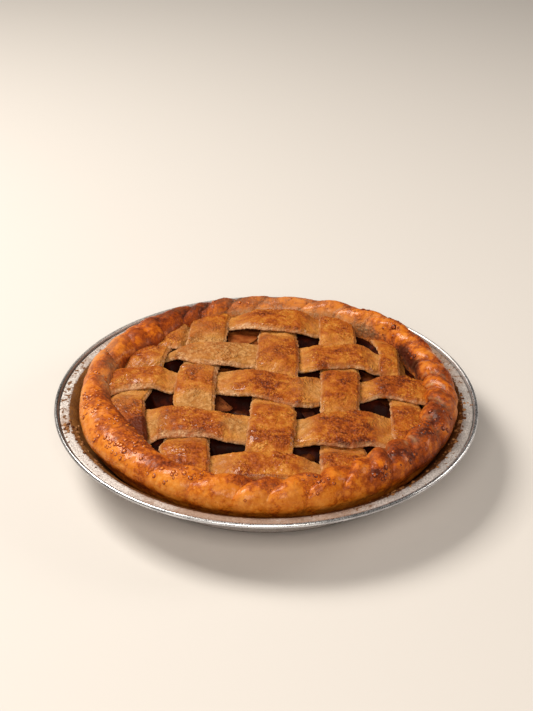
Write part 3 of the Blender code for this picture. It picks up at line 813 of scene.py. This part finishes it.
def layStrip(name, node, index, crosswise, material):
    strip = stripAt(index, crosswise)
    seed = index + (10 if crosswise else 20)
    half = 0.5 * strip[2] * mm
    section = stripSection(half)
    count = weave["length"]
    lines, levels, cuts = [], [], []
    for offset, lift, cut in section:
        first = rimStop(index, offset, crosswise, -1)
        last = rimStop(index, offset, crosswise, 1)
        along = np.linspace(first, last, count)
        level = levelLine(index, offset, crosswise, along)
        share = offset / half
        stray, raised = edgeWander(strip, share, along)
        # a side that draws in leaves its foot behind, so its cut face shows
        foot = 1 - min(lift / weave["thick"], 1.0)
        side = stripMiddle(strip, along) + offset
        torn = nearSpots(along, side, weave["torn"]) if crosswise else nearSpots(side, along, weave["torn"])
        behind = np.minimum(0.55 * np.abs(stray), (0.8 + 2.6 * np.clip(torn, 0, 1)) * mm) * foot * np.sign(stray)
        stray = np.where(stray * share < 0, stray - behind, stray)
        # hand-cut edges wander a little
        edge = math.copysign(1.0, offset) * (abs(offset) / half) ** 3
        guide = np.stack([along, np.full(count, math.copysign(40 * mm, offset)), np.full(count, seed * 9 * mm)], 1)
        wobble = sum(high * mm * lumps(guide, size, seed + k) for size, k, high in weave["wavers"])
        side = stripMiddle(strip, along) + offset + stray + edge * wobble
        x, y = (along, side) if crosswise else (side, along)
        z = level + raised + crownHeight(x, y) + lift
        lines.append(np.stack([x, y, z], 1))
        levels.append((level - weave["low"]) / (weave["high"] - weave["low"]))
        cuts.append(np.full(count, cut))
    rings = np.array(lines).transpose(1, 0, 2)
    over, cut = np.array(levels).T, np.array(cuts).T
    lifts = np.array([p[1] for p in section])[None, :] / weave["thick"]
    offsets = np.array([p[0] for p in section])[None, :] / half
    away = np.abs(offsets)
    top = ease(lifts, 0.5, 0.95) * np.ones_like(over)
    x, y = rings[..., 0], rings[..., 1]
    coarse, middle, grain = puffs = [lumps(rings, size, seed + k) for size, k, _ in weave["puffs"]]
    puff = sum(row[2] * mm * bump for row, bump in zip(weave["puffs"], puffs))
    # baked blisters crowd on the browned stretches, which here include the painted shade spots
    bakedAndShaded = nearSpots(x, y, weave["brownedAndShaded"])
    # painted shade of the rope on the leftmost strip's end
    ropeShade = nearSpots(x, y, weave["ropeShade"]) if node == "strip_back_1" else np.zeros_like(x)
    crowd = ease(0.5 * over + 1.1 * lumps(rings, 10, seed + 5) + bakedAndShaded, 0.30, 0.75)
    puff += (weave["blister"] * crowd + 0.05 * mm) * (1 - ease(cells(rings, 1.9, seed), 0.10, 0.62))
    # strips puff where they ride over and sag at the edges where they dive
    puff += weave["rise"] * over * (1 - away ** 2.2) - weave["sag"] * (1 - over) * away ** 3
    rings[..., 2] += puff * top
    rings[..., 1 if crosswise else 0] += np.sign(offsets) * cut * (0.35 * mm * grain + 0.45 * mm * middle)
    # besides browning, this tone takes in the painted shade spots and the rope's painted shade on the leftmost strip
    bakeAndShade = 0.20 + 0.26 * over ** 1.3 * (1 - 0.35 * away ** 2) + bakedAndShaded + ropeShade
    bakeAndShade += 0.16 * lumps(rings, 13, seed + 6) + 0.10 * middle + 0.08 * bell(away, 0.93, 0.06) * top
    floury = nearSpots(x, y, weave["floury"]) * (1 - 0.6 * over) + 0.55 * (1 - over) ** 1.5 * (0.75 + 0.7 * coarse)
    torn = np.clip(nearSpots(x, y, weave["torn"]), 0, 1)
    cut = np.where(cut > 0, np.maximum(cut, 1e-6) ** (1 - 0.85 * torn), 0)
    pale = np.clip(floury, 0, 1) * top + cut * (0.65 + 0.5 * torn + 0.9 * lumps(rings, 3, seed + 7))
    # and the pale cut side is taken out under that painted shade
    pale *= 1 - ease(ropeShade, 0.1, 0.5)
    tones = {"bakeAndShade": bakeAndShade, "pale": np.clip(pale, 0, 1), "cut": cut, "crowd": crowd * top}
    finishPiece(skin(name, rings, tones), material, [node])


def stripMaterial():
    material, b = newMaterial("bakedStrip")
    bakeAndShade, pale, cut, crowd = (b.tone(name) for name in ("bakeAndShade", "pale", "cut", "crowd"))
    fine, middle, broad = b.mist(0.9, 3.0, 0.6, 0.34), b.mist(2.6, 3.0, 0.6, 0.36), b.mist(8, 2.0, 0.5, 0.36)
    blister = b.pebbles(1.5)
    # the brown tone carries painted shade as well as browning, and so does the bake
    bakeWithShade = bakeAndShade + (broad - 0.5) * 0.28 + (middle - 0.5) * (0.22 + crowd * 0.14) + (fine - 0.5) * 0.16
    bakeWithShade = b.limit(bakeWithShade + crowd * (0.14 - blister * 0.26))
    colour = b.ramp(bakeWithShade, stripColours)
    floury = b.blend(middle, (0.26, 0.112, 0.030), (0.50, 0.245, 0.080))
    raw = b.blend(b.limit(fine * 0.7 + middle * 0.3), (0.30, 0.125, 0.055), (0.74, 0.46, 0.25))
    floury = b.blend(cut, floury, raw)
    colour = b.blend(b.limit(pale * (0.6 + middle * 0.5)), colour, floury)
    rough = b.limit(0.46 + pale * 0.3 - crowd * 0.08)
    height = fine * 0.25 + blister * (0.3 + crowd * 1.1) + middle * 0.75
    bump = roughen(b, height, 0.38 * mm, 1.0)
    coat = b.limit((0.12 + crowd * 0.24) * (1 - pale) * (1.25 - bakeAndShade))
    closeMaterial(b, colour, rough, bump=bump, coat=coat, coatRough=0.17, specular=0.12)
    return material


stripColours = (
    (0.00, (0.56, 0.245, 0.050)),
    (0.18, (0.48, 0.172, 0.022)),
    (0.36, (0.40, 0.116, 0.010)),
    (0.54, (0.33, 0.074, 0.005)),
    (0.74, (0.23, 0.042, 0.003)),
    (1.00, (0.09, 0.014, 0.002)),
)


def dressLattice():
    material = stripMaterial()
    for index in range(5):
        for way in ("Back", "Cross"):
            node = "strip_%s_%d" % (way.lower(), index + 1)
            layStrip("lattice%s%d" % (way, index + 1), node, index, way == "Cross", material)


# the apple filling

fillingShape = {
    "rows": 100,
    "around": 320,
    "hollow": 6.6 * mm,
    "lump": 2.2 * mm,
    "floor": 5.3 * mm,
    "sliceSteps": 29,
    "sliceSides": 20,
    "sliceBend": 110.0,
    "sliceThick": (0.34, 0.22),
    # where the juice boiled up, as (x, y, spread, share of the hollow)
    "boiled": ((86, 24, 12, 1.1), (-62, 74, 8, 0.6), (36, 66, 6, 0.3)),
    # apple slices as (x, y, heading in degrees, length, width, rise, roll in degrees, how light), mm
    "slices": ((-21, 17, 20, 30, 9, 1.5, 15, 0.5), (-16, 14, 70, 26, 8, 0.5, -20, 0.3),
        (-16, 75, 5, 40, 22, 2.6, 6, 1), (-10, 66, 20, 30, 14, 1.6, -8, 0.9), (24, 62, -30, 26, 9, -1.6, 20, 0),
        (24, 18, 60, 24, 8, -1, 10, 0.3), (60, 20, 20, 28, 9, 0, 0, 0.3), (62, 16, -25, 24, 9, 0.6, 25, 0.4),
        (58, -22, 10, 26, 9, -2, 10, 0), (69, -3, 25, 16, 9, 2.4, 0, 0.15), (-31, -9, 212, 30, 14, 3.6, 0, 0.5),
        (-14, -16, 70, 26, 9, -0.6, -15, 0.2), (22, -16, 30, 26, 9, -1, 15, 0),
        (-60, -18, -50, 28, 9, -0.6, 15, 0.2), (-58, 16, 20, 26, 9, 1.6, 0, 0.7), (-60, 56, 40, 24, 9, 0, 10, 0.3),
        (-22, -60, 10, 28, 9, 0.6, 10, 0.5), (22, -59, -20, 26, 9, 0.4, 10, 0.5),
        (-59, -58, 30, 22, 8, -0.4, 0, 0.2), (56, -58, -40, 24, 8, -0.4, 0, 0.2), (62, 54, 30, 26, 9, 0.2, 0, 0.3)),
}


def sheltered(value, strips, along):
    best = np.zeros(np.shape(value))
    for strip in strips:
        beyond = value - stripMiddle(strip, along)
        above = beyond - 0.5 * strip[2] * mm - edgeWander(strip, 1, along)[0]
        below = -beyond - 0.5 * strip[2] * mm + edgeWander(strip, -1, along)[0]
        best = np.maximum(best, 1 - ease(np.maximum(above, below), -2.0 * mm, 5.0 * mm))
    return best


def fillingHeight(x, y):
    s = fillingShape
    shelter = np.maximum(sheltered(x, weave["back"], y), sheltered(y, weave["cross"], x))
    points = np.stack([x, y, np.zeros_like(x)], -1)
    lump = s["lump"] * lumps(points, 17) + 0.7 * mm * lumps(points, 6, 4)
    lump += 1.6 * mm * (1 - ease(cells(points, 9, 6), 0.1, 0.6)) - 0.8 * mm
    lump = np.minimum(lump, 2.4 * mm)
    boiled = nearSpots(x, y, s["boiled"])
    return weave["low"] - 0.6 * mm + crownHeight(x, y) + (1 - shelter) * (lump - s["hollow"] * (1 - boiled))


def dressFilling():
    s = fillingShape
    degrees = np.arange(s["around"]) * 360.0 / s["around"]
    edge = rimFace(degrees) - 0.3 * mm
    rings = [hoop(degrees, radius, height)
             for radius, height in ((82.8 * mm, s["floor"]), (91.4 * mm, 17 * mm), (92.2 * mm, 22.8 * mm))]
    for row in range(s["rows"], 0, -1):
        ring = hoop(degrees, edge * (row / s["rows"]) ** 0.9, 0.0)
        ring[:, 2] = fillingHeight(ring[:, 0], ring[:, 1])
        rings.append(ring)
    finishPiece(skin("appleFilling", rings, {}), syrupMaterial(), ["filling"])


def sliceRings(length, width, seed):
    # a wedge of apple: round outer side, thin core side, bent along its length
    s = fillingShape
    rings = []
    for share in np.linspace(0, 1, s["sliceSteps"]):
        bend = (share - 0.5) * math.radians(s["sliceBend"])
        fat = max(0.03, math.sin(math.pi * share) ** 0.55)
        ring = []
        for angle in np.arange(s["sliceSides"]) * turn / s["sliceSides"]:
            thick = s["sliceThick"][0 if math.cos(angle) > 0 else 1]
            radius = length * 0.52 + math.cos(angle) * width * 0.5 * fat
            ring.append((radius * math.cos(bend) - length * 0.5, radius * math.sin(bend),
                         math.sin(angle) * width * thick * fat))
        rings.append(ring)
    rings = np.array(rings) * mm
    return rings + 0.5 * mm * lumps(rings, 4, seed)[..., None] * np.array([1.0, 1.0, 0.8])


def dressSlices():
    made = []
    for k, (x, y, heading, length, width, rise, roll, light) in enumerate(fillingShape["slices"]):
        spin = Matrix.Rotation(math.radians(heading), 3, "Z") @ Matrix.Rotation(math.radians(roll), 3, "Y")
        base = float(fillingHeight(np.array([x * mm]), np.array([y * mm]))[0])
        rings = sliceRings(length, width, k + 40) @ np.array(spin).T + np.array([x * mm, y * mm, base + rise * mm])
        # slices stay under the lattice
        ceiling = weave["low"] - 0.5 * mm + crownHeight(rings[..., 0], rings[..., 1])
        rings[..., 2] = np.minimum(rings[..., 2], ceiling)
        made.append(skin("slice%02d" % k, rings, {"light": [light] * len(rings)}))
    finishPiece(joinPieces("appleSlices", made), appleMaterial())


def joinPieces(name, pieces):
    bpy.ops.object.select_all(action="DESELECT")
    for piece in pieces:
        piece.select_set(True)
    bpy.context.view_layer.objects.active = pieces[0]
    bpy.ops.object.join()
    pieces[0].name = pieces[0].data.name = name
    return pieces[0]


def syrupMaterial():
    material, b = newMaterial("appleSyrup")
    broad, fine = b.cloud(7, 2.0), b.cloud(1.2)
    # the syrup's own dark red-brown, darkened further as painted shade for the deep holes in the lattice
    colour = b.ramp(broad, ((0.34, (0.007, 0.001, 0.0004)), (0.56, (0.018, 0.002, 0.0007)),
                            (0.78, (0.08, 0.010, 0.002))))
    colour = b.blend(fine * 0.14, colour, (0.08, 0.013, 0.004))
    bump = roughen(b, broad + fine * 0.5, 0.5 * mm, 0.7)
    closeMaterial(b, colour, 0.36 + fine * 0.25, bump=bump, specular=0.04)
    return material


def appleMaterial():
    material, b = newMaterial("stewedApple")
    broad, fine = b.cloud(6, 2.0), b.cloud(0.9, 3.0, 0.6)
    mottle = broad + (fine - 0.5) * 0.3
    dark = b.ramp(mottle, ((0.30, (0.008, 0.001, 0.0005)), (0.55, (0.024, 0.004, 0.001)),
                           (0.78, (0.10, 0.018, 0.003))))
    warm = b.ramp(mottle, ((0.28, (0.10, 0.020, 0.004)), (0.50, (0.21, 0.048, 0.009)),
                           (0.76, (0.30, 0.095, 0.022))))
    colour = b.blend(b.tone("light"), dark, warm)
    bump = roughen(b, broad + fine * 0.4, 0.4 * mm, 0.6)
    closeMaterial(b, colour, 0.40 + fine * 0.2, bump=bump, coat=0.03, coatRough=0.12, specular=0.08)
    return material


# blisters, crumbs and grains: small lumps scattered over a surface

def lumpMesh(name, profile, sides, ragged, seed):
    rng = np.random.default_rng(seed)
    widest = max(radius for radius, _ in profile)
    angles = np.degrees(np.arange(sides) * turn / sides)
    rings = []
    for radius, height in profile:
        out = radius * (1 + ragged * rng.uniform(-1, 1, sides))
        rings.append(hoop(angles, out, height * (1 + ragged * rng.uniform(-1, 1, sides))))
    return skin(name, rings, {"core": [radius / widest for radius, _ in profile]})


def scatterTree(name, material, values):
    b, given = newTree(name, values)

    def chance(most, seed):
        return b.add("FunctionNodeRandomValue", {2: 0.0, 3: most, "Seed": given["Seed"] + seed}, out=1)

    weight = b.add("GeometryNodeInputNamedAttribute", {"Name": "scatter"}, {"data_type": "FLOAT"})
    spread = b.add("GeometryNodeDistributePointsOnFaces",
                   {"Mesh": given["Geometry"], "Distance Min": given["Apart"], "Density Max": given["Density"],
                    "Density Factor": weight, "Seed": given["Seed"]}, {"distribute_method": "POISSON"})
    standing = Wire(b, spread.socket.node.outputs["Rotation"])
    lump = b.add("GeometryNodeObjectInfo", {"Object": given["Lump"]}).socket.node
    size = given["Smallest"] + (given["Largest"] - given["Smallest"]) * chance(1.0, 3) ** 1.3
    spin = b.add("FunctionNodeAxisAngleToRotation", {"Axis": (0, 0, 1), "Angle": chance(turn, 5)})
    turned = b.add("FunctionNodeRotateRotation", {0: standing, 1: spin}, {"rotation_space": "LOCAL"})
    lumps = b.add("GeometryNodeInstanceOnPoints",
                  {"Points": spread, "Instance": Wire(b, lump.outputs["Geometry"]), "Rotation": turned,
                   "Scale": b.join(size, size, size * given["Squash"])})
    toned = b.add("GeometryNodeStoreNamedAttribute", {"Geometry": lumps, "Name": "shade", "Value": chance(1.0, 8)},
                  {"data_type": "FLOAT", "domain": "INSTANCE"})
    moved = b.add("GeometryNodeTranslateInstances",
                  {"Instances": toned, "Translation": b.join(0.0, 0.0, given["Sink"])})
    return closeTree(b, moved, material)


def scatterOver(name, ground, weights, lump, material, values):
    # a copy of the ground with its weights decides where the lumps go
    mesh = ground.data.copy()
    setTone(mesh, "scatter", np.clip(weights, 0, 1))
    values = {"Lump": lump, **values}
    piece = grow(name, mesh, scatterTree(name + "Tree", material, values), values)
    piece.data.shade_smooth()
    finishPiece(piece, material)


rimBubbles = {
    "Density": 110000.0, "Smallest": 0.40 * mm, "Largest": 1.30 * mm, "Squash": 0.95, "Sink": -0.03 * mm,
    "Apart": 1.7 * mm, "Seed": 5,
}
tinCrumbs = {
    "Density": 60000.0, "Smallest": 0.18 * mm, "Largest": 0.75 * mm, "Squash": 0.7, "Sink": 0.02 * mm,
    "Apart": 0.5 * mm, "Seed": 11,
}
pileCrumbs = {
    "Density": 1800000.0, "Smallest": 0.40 * mm, "Largest": 1.20 * mm, "Squash": 0.9, "Sink": 0.05 * mm,
    "Apart": 0.52 * mm, "Seed": 23,
}
# where crumbs lie: bands of the tin as (from, to), and places round it as (angle, spread, amount)
crumbPlaces = {
    "flangeTop": 27.6 * mm,
    "flange": (113.5 * mm, 119.6 * mm),
    "innerEdge": (115.2 * mm, 1.2 * mm),
    "groove": (119.3 * mm, 0.5 * mm),
    "pileFoot": 23.5 * mm,
    "pileBand": (108 * mm, 114.6 * mm),
    "spillOut": 117.5 * mm,
    "heaps": ((-165, 4, 1), (-178, 7, 0.35), (-40, 14, 0.6), (2, 3, 0.5), (-75, 4, 0.4), (-20, 6, 0.3)),
    "piles": ((-162.5, 4, 1), (-153, 5, 0.5), (-145, 2, 0.4), (0, 2.6, 0.9), (-24, 17, 0.55), (-50, 8, 0.3),
              (24, 6, 0.2)),
    "onFlange": ((-163.5, 2.6, 1), (0, 1.6, 0.8)),
}


def bubbleMaterial():
    material, b = newMaterial("bakedBubble")
    core, shade = b.tone("core"), b.tone("shade")
    rightSide = b.between(b.split(b.place())[0], 0.0, 60 * mm)
    fine = b.cloud(0.5, 2.0)
    ring = b.between(core, 0.35, 0.62) * (1 - b.between(core, 0.80, 1.0) * 0.5)
    # on the right the bubbles are painted darker: partly their own darker brown, partly painted shade of the less lit
    # right side
    bakeWithShade = b.limit(0.22 + rightSide * 0.34 + shade * 0.20 + (fine - 0.5) * 0.2 + ring * (0.48 - rightSide * 0.14))
    colour = b.ramp(bakeWithShade, rimColours)
    bump = roughen(b, fine, 0.15 * mm, 0.5)
    closeMaterial(b, colour, 0.32 + fine * 0.15, bump=bump, coat=0.3, coatRough=0.15, specular=0.15)
    return material


def crumbMaterial():
    material, b = newMaterial("bakedCrumb")
    shade, fine = b.tone("shade"), b.cloud(0.5, 2.0)
    colour = b.ramp(b.limit(shade * 0.8 + (fine - 0.5) * 0.6),
                    ((0.0, (0.40, 0.19, 0.070)), (0.35, (0.22, 0.082, 0.022)), (0.7, (0.10, 0.030, 0.008)),
                     (1.0, (0.04, 0.012, 0.004))))
    closeMaterial(b, colour, 0.6, bump=roughen(b, fine, 0.2 * mm, 0.7), specular=0.2)
    return material


def dressBubbles(rim):
    points = meshPoints(rim.data)
    degrees, radius = polar(points)
    y, height = points[:, 1], points[:, 2]
    lean = np.degrees(np.arctan2(height - rimShape["centre"], radius - rimPlan(degrees)[0]))
    weights = ease(lumps(points, 14, 9), -0.15, 0.35) * ease(lean, 10, 30) * (1 - ease(lean, 150, 172))
    weights = weights * (height > 30 * mm) * (0.25 + 0.75 * ease(-y, -40 * mm, 20 * mm))
    domed = ((1.45, -0.16), (1.15, 0.03), (0.98, 0.13), (0.82, 0.28), (0.55, 0.40), (0.25, 0.44))
    bubble = lumpMesh("bubble", domed, 12, 0.05, 3)
    scatterOver("rimBubbles", rim, weights, bubble, bubbleMaterial(), rimBubbles)
    bpy.data.objects.remove(bubble)


def dressCrumbs(tin):
    points = meshPoints(tin.data)
    degrees, radius = polar(points)
    height = points[:, 2]
    s = crumbPlaces
    heaps, piles, onto = (nearPlaces(degrees, s[name]) for name in ("heaps", "piles", "onFlange"))
    onTop = height > s["flangeTop"]
    upward = onTop * (radius > s["flange"][0]) * (radius < s["flange"][1])
    inner = ease(s["innerEdge"][0] - radius, 0, s["innerEdge"][1])
    patch = ease(lumps(points, 9, 3), 0.1, 0.5)
    groove = 0.14 * bell(radius, *s["groove"])
    weights = upward * (0.05 + 0.10 * patch + groove + 0.22 * inner * (0.2 + patch) + 0.7 * heaps * inner)
    crumb = lumpMesh("crumb", ((0.55, -0.35), (0.95, -0.1), (1.0, 0.25), (0.7, 0.6), (0.25, 0.75)), 7, 0.28, 8)
    material = crumbMaterial()
    scatterOver("tinCrumbs", tin, weights, crumb, material, tinCrumbs)
    # crust baked onto the inner edge in piles
    piles = piles * (height > s["pileFoot"]) * (radius > s["pileBand"][0]) * (radius < s["pileBand"][1])
    piles *= radius > wallRadius(height) - 0.9 * mm
    onto = onto * onTop * (radius < s["spillOut"])
    ragged = ease(lumps(points, 5, 17), -0.25, 0.35)
    weights = np.maximum(piles * (0.15 + 0.85 * ragged), onto * (0.2 + 0.8 * ragged))
    scatterOver("crumbPiles", tin, weights, crumb, material, pileCrumbs)
    bpy.data.objects.remove(crumb)


# table, light and camera

studio = {
    "tableColour": (0.61, 0.575, 0.55),
    "tableHalf": 4.0,
    "tableDrop": 0.2 * mm,
    "cameraPlace": (-0.00007, -0.64158, 0.43681),
    "cameraPitch": 30.6413,
    "cameraRoll": 0.38005,
    "lens": 65.99,
    "film": 36.0,
    "nearest": 0.01,
    # lights as (name, place, size, power, colour)
    "lights": (("window", (-0.70, 0.40, 1.00), 0.55, 20.5, (1.0, 0.95, 0.86)),
               ("front", (-0.10, -1.0, 0.85), 0.7, 11.5, (1.0, 0.93, 0.83)),
               ("side", (1.0, 0.25, 0.55), 0.4, 3.5, (1.0, 0.93, 0.85))),
    "ambient": (1.0, 0.92, 0.82, 1.0),
    "ambientPower": 0.12,
}


def setStudio():
    s = studio
    scene = bpy.context.scene
    scene.view_settings.view_transform = "Standard"
    mesh = bpy.data.meshes.new("table")
    corners = ((-1, -1), (1, -1), (1, 1), (-1, 1))
    mesh.from_pydata([(x * s["tableHalf"], y * s["tableHalf"], -s["tableDrop"]) for x, y in corners], [], [range(4)])
    material, b = newMaterial("paleTable")
    closeMaterial(b, s["tableColour"], 0.7)
    mesh.materials.append(material)
    placed("table", mesh)
    for name, place, size, power, colour in s["lights"]:
        lamp = bpy.data.lights.new(name, "AREA")
        lamp.size, lamp.energy, lamp.color = size, power, colour
        light = placed(name, lamp)
        light.location = place
        light.rotation_euler = (-Vector(place)).to_track_quat("-Z", "Y").to_euler()
    scene.world = bpy.data.worlds.new("studioAir")
    scene.world.use_nodes = True
    air = scene.world.node_tree.nodes["Background"]
    air.inputs[0].default_value = s["ambient"]
    air.inputs[1].default_value = s["ambientPower"]
    lens = bpy.data.cameras.new("viewpoint")
    lens.lens, lens.sensor_width, lens.clip_start = s["lens"], s["film"], s["nearest"]
    scene.camera = placed("viewpoint", lens)
    pitch, roll = math.radians(s["cameraPitch"]), math.radians(s["cameraRoll"])
    forward = Vector((0, math.cos(pitch), -math.sin(pitch)))
    right = Vector((1, 0, 0))
    up = right.cross(forward)
    side = right * math.cos(roll) + up * math.sin(roll)
    head = up * math.cos(roll) - right * math.sin(roll)
    turned = Matrix((side, head, -forward)).transposed().to_4x4()
    scene.camera.matrix_world = Matrix.Translation(s["cameraPlace"]) @ turned
    print("studio set")


setStudio()
tin = dressTin()
rim = dressRim()
dressLattice()
dressFilling()
dressSlices()
dressBubbles(rim)
dressCrumbs(tin)
